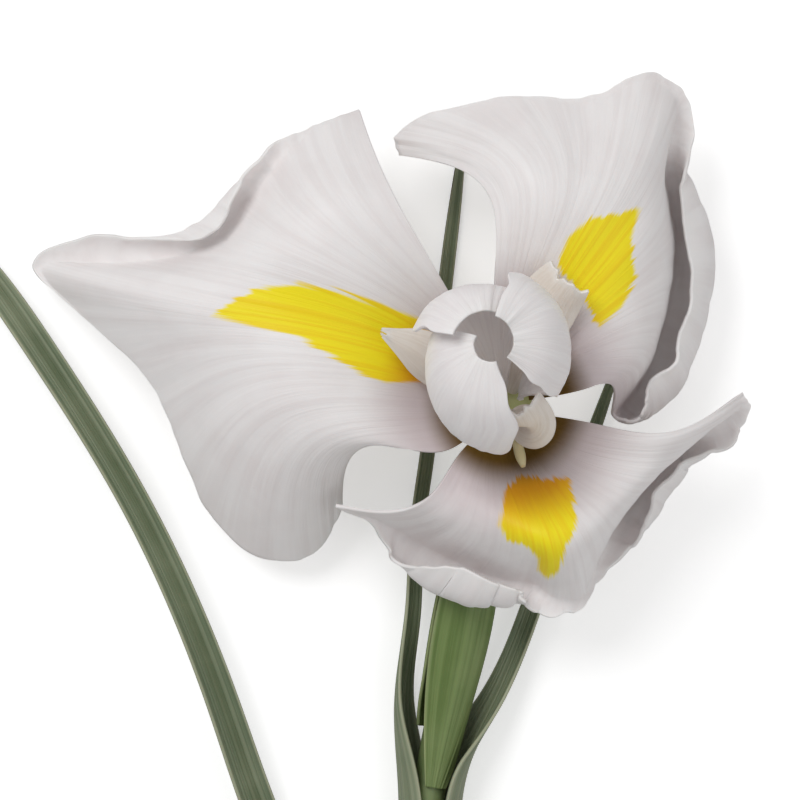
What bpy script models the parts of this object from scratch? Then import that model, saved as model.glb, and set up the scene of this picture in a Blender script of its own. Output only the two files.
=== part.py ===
"""A white iris bloom, picked with its stem and three leaves, lying on a surface with its face up.

The flower's throat is the centre of the design: every place below is in millimetres from it,
X to the right, Y away from the stem's cut end, Z above the surface that the flower lies on.
"""
import math

import bmesh
import bpy
import numpy as np

MM = 0.001

# Driving dimensions, in millimetres.
PETAL_THICKNESS = 0.8
BUD_PETAL_THICKNESS = 0.7
LEAF_THICKNESS = 0.6
STEM_RADIUS = 2.9
SHEATH_RADIUS = 4.4
OUTER_SHEATH_RADIUS = 5.4
STEM_HEIGHT = 5.8
THROAT_HEIGHT = 19.0
THROAT_RADIUS = 3.9
# From the throat to the middle of the whole flower's box, on the surface.
BOX_CENTRE = (-32.3, -48.53)

# Mesh steps: across a petal, along it, and round its curled lip.
FALL_STEPS = (20, 9, 5)
BUD_STEPS = (11, 10)
LEAF_STEPS = (6, 26)

COLOURS = {
    "fall": (0.93, 0.91, 0.90),
    "standard": (0.95, 0.93, 0.92),
    "style": (0.94, 0.91, 0.88),
    "stamen": (0.90, 0.86, 0.66),
    "tube": (0.60, 0.65, 0.35),
    "ovary": (0.24, 0.36, 0.12),
    "stem": (0.22, 0.33, 0.13),
    "spathe": (0.16, 0.24, 0.07),
    "leaf": (0.15, 0.21, 0.11),
}


# ---------------------------------------------------------------- shape helpers

def natural_spline(knots, values, at):
    """Values of the smooth curve through (knots, values) at the places asked for."""
    knots = np.asarray(knots, float)
    values = np.asarray(values, float)
    count = len(knots)
    gaps = np.diff(knots)
    system = np.eye(count)
    target = np.zeros_like(values)
    for i in range(1, count - 1):
        system[i, i - 1:i + 2] = gaps[i - 1], 2 * (gaps[i - 1] + gaps[i]), gaps[i]
        rise = (values[i + 1] - values[i]) / gaps[i] - (values[i] - values[i - 1]) / gaps[i - 1]
        target[i] = 6 * rise
    bend = np.linalg.solve(system, target)
    at = np.asarray(at, float)
    left = np.clip(np.searchsorted(knots, at) - 1, 0, count - 2)
    gap = gaps[left][:, None]
    a = (knots[left + 1] - at)[:, None] / gap
    b = 1 - a
    curve = a * values[left] + b * values[left + 1]
    curve += ((a ** 3 - a) * bend[left] + (b ** 3 - b) * bend[left + 1]) * gap ** 2 / 6
    return curve


def along(points, count):
    """Evenly spaced points on the smooth curve through a few points."""
    points = np.asarray(points, float)
    lengths = np.linalg.norm(np.diff(points, axis=0), axis=1)
    knots = np.concatenate([[0.0], np.cumsum(lengths)])
    return natural_spline(knots, points, np.linspace(0, knots[-1], count))


def across(rows, count):
    """The rows of a net, each smoothly refilled to count columns."""
    rows = np.asarray(rows, float)
    knots = np.linspace(0, 1, len(rows))
    return natural_spline(knots, rows, np.linspace(0, 1, count))


def unit(vectors):
    return vectors / np.linalg.norm(vectors, axis=-1, keepdims=True)


def curled(grid, turns, lengths, steps):
    """The grid with a lip added to its outer row, each column turning up by its own angle."""
    edge = grid[:, -1]
    outward = unit(edge - grid[:, -2])
    sideways = np.gradient(edge, axis=0)
    upward = unit(np.cross(sideways, outward))
    rows = [edge]
    place = edge.copy()
    fine = 6
    for step in range(steps * fine):
        done = (step + 0.5) / (steps * fine)
        angle = np.radians(turns) * (1 - (1 - done) ** 2)
        heading = np.cos(angle)[:, None] * outward + np.sin(angle)[:, None] * upward
        place = place + heading * (lengths / (steps * fine))[:, None]
        if (step + 1) % fine == 0:
            rows.append(place)
    lip = np.stack(rows[1:], axis=1)
    return np.concatenate([grid, lip], axis=1)


# ---------------------------------------------------------------- Blender helpers

def material(name, colour, roughness=0.6):
    made = bpy.data.materials.new(name)
    made.use_nodes = True
    shader = made.node_tree.nodes["Principled BSDF"]
    shader.inputs["Base Color"].default_value = (*colour, 1.0)
    shader.inputs["Roughness"].default_value = roughness
    shader.inputs["Metallic"].default_value = 0.0
    made.diffuse_color = (*colour, 1.0)
    return made


def add_object(name, mesh, finish):
    """A named object in the flower's collection, moved to the flower's frame."""
    made = bpy.data.objects.new(name, mesh)
    made.location = (-BOX_CENTRE[0] * MM, -BOX_CENTRE[1] * MM, 0.0)
    mesh.materials.append(finish)
    mesh.shade_smooth()
    bpy.data.collections["iris_flower"].objects.link(made)
    return made


def sheet(name, grid, thickness, finish):
    """A thin petal or leaf: an open net of points, given its thickness by Solidify."""
    columns, rows = grid.shape[:2]
    faces = []
    for i in range(columns - 1):
        for j in range(rows - 1):
            corner = i * rows + j
            faces.append((corner, corner + 1, corner + rows + 1, corner + rows))
    mesh = bpy.data.meshes.new(name)
    mesh.from_pydata([tuple(p) for p in (grid * MM).reshape(-1, 3)], [], faces)
    made = add_object(name, mesh, finish)
    solid = made.modifiers.new("thickness", "SOLIDIFY")
    solid.thickness = thickness * MM
    solid.offset = 0.0
    solid.use_even_offset = False
    return made


def rod(name, path, radii, sides, finish, count):
    """A round stem through a few points, with its own radius at each and flat ends."""
    centres = along(path, count)
    places = np.linspace(0, 1, len(radii))
    sizes = natural_spline(places, np.asarray(radii, float)[:, None], np.linspace(0, 1, count))[:, 0]
    tangents = unit(np.gradient(centres, axis=0))
    side = unit(np.cross(tangents, (1.0, 0.0, 0.2)))
    other = np.cross(tangents, side)
    mesh_points = []
    for centre, size, u, v in zip(centres, sizes, side, other):
        for k in range(sides):
            turn = 2 * math.pi * k / sides
            mesh_points.append(centre + size * (math.cos(turn) * u + math.sin(turn) * v))
    faces = [tuple(reversed(range(sides)))]
    for ring in range(count - 1):
        for k in range(sides):
            near = ring * sides
            far = near + sides
            nxt = (k + 1) % sides
            faces.append((near + k, near + nxt, far + nxt, far + k))
    faces.append(tuple(range((count - 1) * sides, count * sides)))
    mesh = bpy.data.meshes.new(name)
    mesh.from_pydata([tuple(p * MM) for p in mesh_points], [], faces)
    shape = bmesh.new()
    shape.from_mesh(mesh)
    bmesh.ops.recalc_face_normals(shape, faces=shape.faces)
    shape.to_mesh(mesh)
    shape.free()
    return add_object(name, mesh, finish)


# ---------------------------------------------------------------- the three falls
# Each fall: the direction of its narrow base, the two corners of its shoulder (where the blade
# comes out from under the bud), how far the shoulder bulges outward and sags between them, and
# its veins in order across the blade. A vein is a place half way, a place where it meets the
# margin, and the turn in degrees and length of the lip that curls from there.
FALLS = {
    "fall_left": dict(
        azimuth=168.0, spread=50.0,
        shoulder=((-12.5, -8.0, 29.5), (-10.5, 19.5, 29.5)), bulge=3.5, sag=1.5,
        veins=[
            ((-19.5, -6.8, 30.0), (-26.6, -17.0, 12.0), (-40, 2)),
            ((-23.8, -6.0, 31.0), (-30.4, -23.5, 8.0), (-60, 3)),
            ((-28.5, -3.8, 32.0), (-39.0, -25.2, 8.5), (-40, 2)),
            ((-33.5, 0.0, 32.5), (-48.0, -17.8, 10.0), (-20, 1.5)),
            ((-38.0, 4.5, 32.0), (-53.6, -3.5, 14.0), (0, 1)),
            ((-42.5, 10.5, 31.0), (-62.4, 9.2, 13.0), (0, 1)),
            ((-46.0, 15.0, 30.0), (-76.0, 22.0, 5.5), (60, 2)),
            ((-42.0, 19.5, 30.5), (-58.5, 22.5, 14.0), (180, 8)),
            ((-38.0, 24.5, 31.5), (-45.4, 27.4, 21.0), (205, 9)),
            ((-32.0, 29.0, 32.0), (-37.9, 36.4, 22.5), (110, 4)),
            ((-26.0, 32.0, 32.0), (-31.0, 43.0, 20.0), (0, 2)),
            ((-17.5, 31.5, 31.0), (-23.5, 46.8, 16.0), (-30, 2)),
        ]),
    "fall_right": dict(
        azimuth=50.0, spread=46.0,
        shoulder=((-2.0, 21.0, 29.5), (13.6, 2.5, 28.5)), bulge=3.0, sag=1.5,
        veins=[
            ((-2.0, 30.0, 30.5), (-16.5, 40.0, 14.0), (-30, 2)),
            ((1.0, 32.5, 32.0), (-16.0, 43.8, 14.0), (-20, 2)),
            ((4.0, 33.5, 33.0), (-9.5, 46.5, 19.0), (0, 2)),
            ((8.5, 33.5, 33.0), (3.5, 48.3, 22.0), (0, 1)),
            ((12.5, 33.5, 32.0), (14.8, 48.0, 22.0), (20, 2)),
            ((16.5, 32.8, 31.0), (22.6, 51.2, 19.0), (30, 2)),
            ((20.0, 31.5, 29.0), (27.2, 47.2, 16.0), (60, 3)),
            ((22.5, 28.0, 27.0), (25.6, 38.6, 13.0), (200, 9)),
            ((23.5, 22.5, 25.5), (28.0, 26.5, 9.0), (222, 17)),
            ((23.0, 15.5, 25.0), (26.6, 14.8, 8.0), (222, 18)),
            ((21.0, 9.0, 25.0), (22.9, 4.8, 11.0), (222, 17)),
            ((18.5, 5.0, 26.0), (18.8, -0.6, 16.5), (205, 11)),
            ((16.0, 3.0, 27.0), (17.0, -1.6, 22.0), (110, 3)),
        ]),
    "fall_lower": dict(
        azimuth=-73.0, spread=46.0,
        shoulder=((14.0, -3.5, 28.5), (-8.5, -9.5, 28.0)), bulge=5.0, sag=2.5,
        veins=[
            ((22.5, -5.0, 31.5), (36.5, 0.5, 21.0), (0, 2)),
            ((23.0, -6.8, 31.0), (37.0, -1.2, 19.0), (60, 3)),
            ((22.5, -9.0, 30.0), (31.4, -5.2, 15.0), (190, 8)),
            ((20.0, -12.0, 30.0), (26.0, -9.2, 12.5), (215, 12)),
            ((16.5, -14.8, 31.0), (20.2, -16.6, 12.0), (215, 12)),
            ((12.5, -18.5, 33.5), (15.0, -24.8, 15.0), (130, 4)),
            ((9.0, -20.5, 35.0), (12.3, -31.0, 18.5), (60, 2)),
            ((6.3, -21.0, 35.5), (7.8, -30.8, 20.0), (100, 4)),
            ((3.5, -20.5, 35.0), (3.4, -28.8, 18.5), (190, 9)),
            ((-0.5, -18.5, 33.0), (-2.6, -28.0, 16.0), (215, 17)),
            ((-4.5, -16.0, 30.5), (-10.4, -24.4, 14.0), (215, 18)),
            ((-8.0, -14.5, 29.0), (-18.2, -20.2, 14.5), (120, 4)),
            ((-12.0, -14.5, 29.0), (-26.5, -16.8, 23.0), (0, 1)),
        ]),
}


def fall_grid(spec):
    """The net of a fall: a narrow base at the throat, then shoulder, half way, margin and lip."""
    count = len(spec["veins"])
    place = np.linspace(-1, 1, count)
    turn = np.radians(spec["azimuth"] - place * spec["spread"])
    base = np.stack([np.cos(turn) * THROAT_RADIUS, np.sin(turn) * THROAT_RADIUS,
                     np.full(count, THROAT_HEIGHT + 1.1)], axis=1)
    first, last = (np.asarray(p) for p in spec["shoulder"])
    middle = math.radians(spec["azimuth"])
    outward = np.array([math.cos(middle), math.sin(middle), 0.0])
    share = ((place + 1) / 2)[:, None]
    arch = (1 - place ** 2)[:, None]
    shoulder = first + (last - first) * share + arch * outward * spec["bulge"]
    shoulder[:, 2] -= arch[:, 0] * spec["sag"]
    half = np.array([vein[0] for vein in spec["veins"]], float)
    margin = np.array([vein[1] for vein in spec["veins"]], float)
    curls = np.array([vein[2] for vein in spec["veins"]], float)
    columns, rows, lip_rows = FALL_STEPS
    net = np.concatenate([np.stack([base, shoulder, half, margin], axis=1).reshape(count, 12),
                          curls], axis=1)
    net = across(net, columns)
    grid = np.stack([along(line[:12].reshape(4, 3), rows) for line in net])
    return curled(grid, net[:, 12], np.maximum(net[:, 13], 1.0), lip_rows)


# ---------------------------------------------------------------- the half-open centre
# The three standards close into an egg on a narrow neck: height, radius and middle at each level.
BUD_LEVELS = [
    (THROAT_HEIGHT + 1.2, 2.6, 0.0, 0.0),
    (THROAT_HEIGHT + 6.0, 3.4, -0.2, 0.6),
    (THROAT_HEIGHT + 13.0, 7.8, -0.8, 2.6),
    (THROAT_HEIGHT + 20.0, 13.2, -1.8, 5.2),
    (THROAT_HEIGHT + 27.5, 13.2, -2.4, 7.2),
    (THROAT_HEIGHT + 33.5, 9.4, -3.0, 8.4),
    (THROAT_HEIGHT + 36.0, 3.0, -3.4, 9.0),
]
# Each standard: its middle direction, half its spread, how deep one side tucks in under the
# next standard, and how far up the egg it closes.
STANDARDS = {
    "standard_left": (222.0, 66.0, 3.6, 1.0),
    "standard_right": (20.0, 58.0, 3.6, 0.97),
    "standard_top": (108.0, 56.0, 3.6, 0.93),
}
# Each style arm: its middle line from the throat out to its crest, and its width at each place.
STYLE_ARMS = {
    "style_arm_left": (
        [(-1.6, 0.6, 20.4), (-5.0, 2.2, 26.0), (-9.5, 4.9, 30.2), (-14.5, 8.4, 33.8),
         (-19.6, 10.8, 35.4)], [1.6, 3.4, 7.0, 6.5, 1.2]),
    "style_arm_right": (
        [(0.8, 1.5, 20.4), (2.2, 5.2, 26.6), (4.4, 10.6, 31.0), (6.6, 15.8, 33.0),
         (8.8, 18.8, 36.0)], [1.6, 3.4, 7.0, 9.5, 7.5]),
    "style_arm_lower": (
        [(0.6, -1.5, 20.4), (1.8, -3.6, 26.0), (3.0, -4.2, 31.5), (3.4, -3.4, 37.0),
         (2.2, -1.2, 41.0)], [1.6, 3.4, 6.0, 7.5, 7.0]),
}
STYLE_RIDGE = 0.22
# Each stamen lies between a fall and the style arm above it: its direction.
STAMENS = {"stamen_left": 160.0, "stamen_right": 52.0, "stamen_lower": -76.0}
STAMEN_RADII = [0.4, 0.4, 0.45, 0.75, 0.85, 0.8, 0.4]


def standard_grid(azimuth, spread, tuck, closing):
    """The net of a standard: part of the egg, with one side sunk inwards under the next one."""
    columns, rows = BUD_STEPS
    levels = natural_spline(np.linspace(0, 1, len(BUD_LEVELS)), BUD_LEVELS,
                            np.linspace(0, closing, rows))
    slope = unit(np.gradient(levels[:, :2], axis=0))
    grid = np.zeros((columns, rows, 3))
    for j, (height, radius, middle_x, middle_y) in enumerate(levels):
        up = j / (rows - 1)
        opening = min(1.0, 0.2 + 1.1 * up)
        sink = min(1.0, 2.2 * up)
        for i, v in enumerate(np.linspace(-1, 1, columns)):
            turn = math.radians(azimuth - v * spread * opening)
            depth = (v + 1) / 2 * tuck * sink
            size = radius - depth * slope[j, 0]
            grid[i, j] = (middle_x + size * math.cos(turn), middle_y + size * math.sin(turn),
                          height + depth * slope[j, 1])
    return grid


def strap_grid(path, widths, ridge, columns, rows):
    """A strap along a path, raised along its middle by a share of its width."""
    centres = along(path, rows)
    spans = along([(w, 0.0, 10.0 * i) for i, w in enumerate(widths)], rows)[:, 0]
    tangents = unit(np.gradient(centres, axis=0))
    sides = unit(np.cross(tangents, (0.0, 0.0, 1.0)))
    ups = np.cross(sides, tangents)
    grid = np.zeros((columns, rows, 3))
    for i, v in enumerate(np.linspace(-1, 1, columns)):
        drop = (v * v * spans * ridge)[:, None]
        grid[i] = centres - v * sides * spans[:, None] / 2 - drop * ups
    return grid


# ---------------------------------------------------------------- stem and green leaves
STEM_PATH = [(-13.0, -150.0, STEM_HEIGHT), (-13.0, -100.0, STEM_HEIGHT), (-12.6, -66.0, STEM_HEIGHT),
             (-10.0, -50.0, 5.8), (-7.7, -36.0, 6.2)]
OVARY_PATH = [(-7.6, -35.6, 6.2), (-6.2, -28.0, 6.9), (-4.8, -21.5, 8.2)]
TUBE_PATH = [(-4.6, -20.9, 8.3), (-2.6, -12.0, 9.8), (-0.8, -4.0, 12.2), (-0.1, -0.8, 15.0),
             (0.0, 0.0, THROAT_HEIGHT)]
# A leaf's station: the centre of its curved section, the section's radius, the angle it wraps
# and the direction it opens in (0 is to the right of its path, 90 is up).
LEAVES = {
    "leaf_left": [
        (-13.0, -146.0, STEM_HEIGHT, SHEATH_RADIUS, 230, 0),
        (-13.2, -132.0, 5.8, SHEATH_RADIUS, 225, 5),
        (-16.5, -115.0, 7.5, 5.0, 140, 15),
        (-27.0, -90.5, 10.6, 5.0, 90, 45),
        (-38.7, -64.5, 11.3, 5.0, 74, 60),
        (-44.3, -48.0, 12.8, 5.0, 70, 60),
        (-58.9, -15.6, 12.4, 5.0, 62, 65),
        (-74.5, 9.5, 10.8, 5.0, 62, 65),
        (-87.0, 25.2, 8.4, 5.0, 48, 75),
        (-104.0, 40.0, 4.6, 4.0, 5, 85),
    ],
    "leaf_back": [
        (-13.0, -104.0, STEM_HEIGHT, SHEATH_RADIUS, 190, 10),
        (-13.0, -82.0, STEM_HEIGHT, SHEATH_RADIUS, 200, 10),
        (-12.8, -63.0, 5.7, SHEATH_RADIUS, 170, 10),
        (-12.4, -50.0, 5.9, 5.4, 96, 15),
        (-12.6, -34.0, 6.6, 3.5, 62, 40),
        (-13.0, -22.0, 5.4, 3.0, 50, 60),
        (-12.4, -11.0, 4.3, 3.0, 46, 80),
        (-9.3, 21.0, 4.0, 3.0, 44, 88),
        (-7.8, 34.0, 3.8, 2.8, 36, 90),
        (-6.4, 46.0, 3.4, 2.5, 8, 90),
    ],
    "leaf_right": [
        (-13.0, -100.0, STEM_HEIGHT, OUTER_SHEATH_RADIUS, 150, 150),
        (-13.0, -80.0, STEM_HEIGHT, OUTER_SHEATH_RADIUS, 170, 150),
        (-12.6, -66.0, 5.9, OUTER_SHEATH_RADIUS, 165, 155),
        (-10.8, -56.0, 6.4, 5.9, 120, 158),
        (-5.4, -48.0, 7.0, 5.0, 78, 145),
        (3.3, -33.5, 6.5, 3.8, 55, 112),
        (10.3, -16.3, 5.1, 3.6, 42, 95),
        (16.2, -1.0, 4.6, 3.4, 30, 92),
        (20.5, 11.0, 3.9, 3.0, 6, 90),
    ],
}
SPATHES = {
    "spathe_outer": [
        (-12.4, -63.0, 5.7, 3.5, 60, 250),
        (-10.4, -52.0, 5.8, 4.1, 140, 240),
        (-7.4, -37.0, 6.3, 5.1, 165, 240),
        (-5.0, -25.0, 7.6, 4.7, 160, 245),
        (-2.8, -14.0, 9.6, 4.4, 115, 255),
        (-1.9, -8.0, 11.4, 4.2, 12, 260),
    ],
    "spathe_inner": [
        (-10.9, -54.0, 5.8, 3.7, 80, 65),
        (-9.3, -46.0, 5.9, 4.0, 150, 65),
        (-7.6, -36.5, 6.3, 4.2, 165, 65),
        (-5.4, -25.0, 7.4, 3.8, 165, 65),
        (-3.2, -16.0, 9.0, 3.5, 110, 70),
        (-2.2, -11.0, 9.8, 3.4, 12, 75),
    ],
}


def channel_grid(stations, columns, rows):
    """A leaf or bract: a curved section carried along the stations, opening as it says."""
    stations = np.asarray(stations, float)
    steps = np.linalg.norm(np.diff(stations[:, :3], axis=0), axis=1)
    knots = np.concatenate([[0.0], np.cumsum(steps)])
    filled = natural_spline(knots, stations, np.linspace(0, knots[-1], rows))
    centres, sizes = filled[:, :3], filled[:, 3]
    wraps = np.radians(np.maximum(filled[:, 4], 4.0))
    turns = np.radians(filled[:, 5])[:, None]
    tangents = unit(np.gradient(centres, axis=0))
    right = unit(np.cross(tangents, (0.0, 0.0, 1.0)))
    up = np.cross(right, tangents)
    facing = np.cos(turns) * right + np.sin(turns) * up
    side = np.cross(tangents, facing)
    grid = np.zeros((columns, rows, 3))
    for i, v in enumerate(np.linspace(-1, 1, columns)):
        angle = v * wraps / 2
        grid[i] = centres + (sizes * np.sin(angle))[:, None] * side
        grid[i] -= (sizes * np.cos(angle))[:, None] * facing
    return grid


def build_flower(finishes):
    """Falls, standards, style arms and stamens, all springing from the throat."""
    for name, spec in FALLS.items():
        sheet(name, fall_grid(spec), PETAL_THICKNESS, finishes["fall"])
    for name, spec in STANDARDS.items():
        sheet(name, standard_grid(*spec), BUD_PETAL_THICKNESS, finishes["standard"])
    for name, (path, widths) in STYLE_ARMS.items():
        grid = strap_grid(path, widths, STYLE_RIDGE, 7, 10)
        sheet(name, grid, BUD_PETAL_THICKNESS, finishes["style"])
    for name, azimuth in STAMENS.items():
        x, y = math.cos(math.radians(azimuth)), math.sin(math.radians(azimuth))
        path = [(3.6 * x, 3.6 * y, 21.2), (6.6 * x, 6.6 * y, 24.0), (10.6 * x, 10.6 * y, 26.6)]
        rod(name, path, STAMEN_RADII, 8, finishes["stamen"], 12)


def build_greens(finishes):
    """The stem with the ovary and tube that carry the flower, its two bracts and three leaves."""
    rod("stem", STEM_PATH, [STEM_RADIUS, STEM_RADIUS, STEM_RADIUS, 2.7, 2.4], 14, finishes["stem"], 20)
    rod("ovary", OVARY_PATH, [2.4, 3.0, 2.9, 2.0], 12, finishes["ovary"], 8)
    rod("perianth_tube", TUBE_PATH, [1.9, 1.9, 1.9, 2.0, 2.3, 4.2], 14, finishes["tube"], 12)
    for name, stations in SPATHES.items():
        sheet(name, channel_grid(stations, 9, 14), LEAF_THICKNESS, finishes["spathe"])
    for name, stations in LEAVES.items():
        sheet(name, channel_grid(stations, 8, 30), LEAF_THICKNESS, finishes["leaf"])


def main():
    for old in list(bpy.data.objects):
        bpy.data.objects.remove(old)
    collection = bpy.data.collections.new("iris_flower")
    bpy.context.scene.collection.children.link(collection)
    finishes = {name: material(name, colour) for name, colour in COLOURS.items()}
    build_flower(finishes)
    build_greens(finishes)


main()
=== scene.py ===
"""Looks of a cut white iris bloom that lies on a surface with its face up.

Every place is in millimetres from the flower's throat: X to the right, Y away from the stem's
cut end, Z above the surface. Each class below is one kind of piece and dresses its own meshes.
"""
import logging
import math
from dataclasses import dataclass, field
from enum import Enum
from typing import Any, Sequence

import bpy
import numpy as np
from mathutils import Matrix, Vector


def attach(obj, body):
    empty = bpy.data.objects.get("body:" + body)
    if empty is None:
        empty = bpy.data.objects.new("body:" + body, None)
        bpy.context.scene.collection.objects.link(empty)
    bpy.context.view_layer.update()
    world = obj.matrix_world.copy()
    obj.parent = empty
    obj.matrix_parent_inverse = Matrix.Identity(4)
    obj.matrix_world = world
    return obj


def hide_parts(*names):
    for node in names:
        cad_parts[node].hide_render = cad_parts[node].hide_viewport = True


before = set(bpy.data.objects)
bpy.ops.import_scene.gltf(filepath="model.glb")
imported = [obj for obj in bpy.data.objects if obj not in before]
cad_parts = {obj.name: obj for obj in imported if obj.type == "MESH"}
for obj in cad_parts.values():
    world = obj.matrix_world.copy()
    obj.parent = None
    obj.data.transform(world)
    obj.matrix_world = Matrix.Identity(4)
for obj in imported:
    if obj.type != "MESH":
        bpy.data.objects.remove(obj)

logging.basicConfig(level=logging.INFO, format="%(message)s")
log = logging.getLogger("iris")

Point = tuple[float, float, float]
Plan = tuple[float, float]
Colour = tuple[float, float, float]

MM = 0.001
THROAT_ON_FLOOR = np.array([32.3, 48.53, 0.0])
THROAT_HEIGHT = 19.0
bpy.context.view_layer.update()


class Attribute(str, Enum):
    """Names of the values that meshes carry for their materials."""

    SIGNAL = "signal"
    REACH = "reach"
    RIM = "rim"
    # Weight of the painted shade along a leaf's channel.
    TINT = "channel_shade_mask"


class Finish(str, Enum):
    """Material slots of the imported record."""

    FALL = "fall"
    STANDARD = "standard"
    STYLE = "style"
    STAMEN = "stamen"
    TUBE = "tube"
    OVARY = "ovary"
    STEM = "stem"
    SPATHE = "spathe"
    LEAF = "leaf"


# ------------------------------------------------------------------ curves and noise


def natural_spline(knots: Sequence[float], values: Any, at: Any) -> np.ndarray:
    """Smooth curve through given values.

    Args:
        knots: Rising places of the values.
        values: One row of numbers at each knot.
        at: Places to read the curve at.

    Returns:
        One row of numbers for each place.
    """
    knots = np.asarray(knots, float)
    values = np.asarray(values, float)
    count = len(knots)
    gaps = np.diff(knots)
    system = np.eye(count)
    target = np.zeros_like(values)
    for i in range(1, count - 1):
        system[i, i - 1:i + 2] = gaps[i - 1], 2 * (gaps[i - 1] + gaps[i]), gaps[i]
        rise = (values[i + 1] - values[i]) / gaps[i] - (values[i] - values[i - 1]) / gaps[i - 1]
        target[i] = 6 * rise
    bend = np.linalg.solve(system, target)
    at = np.asarray(at, float)
    left = np.clip(np.searchsorted(knots, at) - 1, 0, count - 2)
    gap = gaps[left][:, None]
    a = (knots[left + 1] - at)[:, None] / gap
    b = 1 - a
    curve = a * values[left] + b * values[left + 1]
    curve += ((a ** 3 - a) * bend[left] + (b ** 3 - b) * bend[left + 1]) * gap ** 2 / 6
    return curve


def along(points: Any, count: int) -> np.ndarray:
    """Evenly spaced points on the smooth curve through a few points.

    Args:
        points: The few points.
        count: How many points to return.

    Returns:
        The points, one a row.
    """
    points = np.asarray(points, float)
    lengths = np.linalg.norm(np.diff(points[:, :3], axis=0), axis=1)
    knots = np.concatenate([[0.0], np.cumsum(lengths)])
    return natural_spline(knots, points, np.linspace(0, knots[-1], count))


def unit(vectors: np.ndarray) -> np.ndarray:
    """Vectors scaled to length one."""
    return vectors / np.maximum(np.linalg.norm(vectors, axis=-1, keepdims=True), 1e-9)


def wander(count: int, cells: float, seed: int) -> np.ndarray:
    """Smooth one-dimensional noise between -1 and 1.

    Args:
        count: How many values to return.
        cells: How many bends the line has.
        seed: Which noise it is.

    Returns:
        The values.
    """
    steps = int(cells) + 3
    values = np.random.RandomState(seed).uniform(-1, 1, steps)
    place = np.linspace(0, cells, count)
    low = place.astype(int)
    share = place - low
    share = share * share * (3 - 2 * share)
    return values[low] * (1 - share) + values[low + 1] * share


def blotchy(columns: int, rows: int, cells: Plan, seed: int) -> np.ndarray:
    """Smooth two-dimensional noise between -1 and 1 on a net.

    Args:
        columns: Columns of the net.
        rows: Rows of the net.
        cells: How many bumps it has across and along.
        seed: Which noise it is.

    Returns:
        One value for each point of the net.
    """
    values = np.random.RandomState(seed).uniform(-1, 1, (int(cells[0]) + 3, int(cells[1]) + 3))
    across = np.linspace(0, cells[0], columns)
    length = np.linspace(0, cells[1], rows)
    i, j = across.astype(int), length.astype(int)
    s, t = across - i, length - j
    s = (s * s * (3 - 2 * s))[:, None]
    t = (t * t * (3 - 2 * t))[None, :]
    near = values[np.ix_(i, j)] * (1 - s) + values[np.ix_(i + 1, j)] * s
    far = values[np.ix_(i, j + 1)] * (1 - s) + values[np.ix_(i + 1, j + 1)] * s
    return near * (1 - t) + far * t


def inside_distance(places: np.ndarray, outline: Sequence[Plan]) -> np.ndarray:
    """How far each place is inside a closed outline.

    Args:
        places: Plan places, one a row.
        outline: The outline's corners in order.

    Returns:
        Distances, positive inside and negative outside.
    """
    corners = np.asarray(outline, float)
    following = np.roll(corners, -1, axis=0)
    nearest = np.full(len(places), 1e9)
    within = np.zeros(len(places), bool)
    for start, end in zip(corners, following):
        edge = end - start
        share = np.clip(((places - start) @ edge) / (edge @ edge), 0, 1)
        gap = np.linalg.norm(places - (start + share[:, None] * edge), axis=1)
        nearest = np.minimum(nearest, gap)
        crosses = (start[1] > places[:, 1]) != (end[1] > places[:, 1])
        rise = edge[1] if abs(edge[1]) > 1e-9 else 1e-9
        within ^= crosses & (places[:, 0] < start[0] + edge[0] * (places[:, 1] - start[1]) / rise)
    return np.where(within, nearest, -nearest)


def net_normals(net: np.ndarray) -> np.ndarray:
    """Directions square to a net of points, on its inner or upper side."""
    return unit(np.cross(np.gradient(net, axis=0), np.gradient(net, axis=1)))


# ------------------------------------------------------------------ meshes


@dataclass
class Sheet:
    """A thin sheet of tissue, from a net of points with columns across and rows along.

    Args:
        name: Name of the object.
        net: Points in millimetres, columns by rows.
        thickness: Thickness at the middle of the sheet.
        values: Values that the points carry for the material.
    """

    name: str
    net: np.ndarray
    thickness: float
    values: dict[Attribute, np.ndarray] = field(default_factory=dict)

    def build(self, material: bpy.types.Material) -> bpy.types.Object:
        """Makes the object: a flat grid, shaped to the net and given its thickness.

        Args:
            material: What the sheet is finished in.

        Returns:
            The finished object.
        """
        columns, rows = self.net.shape[:2]
        bpy.ops.object.select_all(action="DESELECT")
        bpy.ops.mesh.primitive_grid_add(x_subdivisions=columns - 1, y_subdivisions=rows - 1,
                                        size=2.0, calc_uvs=True)
        piece = bpy.context.object
        piece.name = f"{self.name}_tissue"
        mesh = piece.data
        flat = np.empty(len(mesh.vertices) * 3)
        mesh.vertices.foreach_get("co", flat)
        flat = flat.reshape(-1, 3)
        column = np.rint((flat[:, 0] + 1) / 2 * (columns - 1)).astype(int)
        row = np.rint((flat[:, 1] + 1) / 2 * (rows - 1)).astype(int)
        placed = (self.net[column, row] + THROAT_ON_FLOOR) * MM
        mesh.vertices.foreach_set("co", placed.ravel())
        for name, amounts in self.values.items():
            layer = mesh.attributes.new(name.value, "FLOAT", "POINT")
            layer.data.foreach_set("value", amounts[column, row].astype(np.float32))
        mesh.update()
        solid = piece.modifiers.new("thickness", "SOLIDIFY")
        solid.thickness = self.thickness * MM
        solid.offset = 0.0
        bpy.ops.object.modifier_apply(modifier=solid.name)
        mesh = piece.data
        mesh.shade_smooth()
        mesh.materials.append(material)
        return piece


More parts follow.
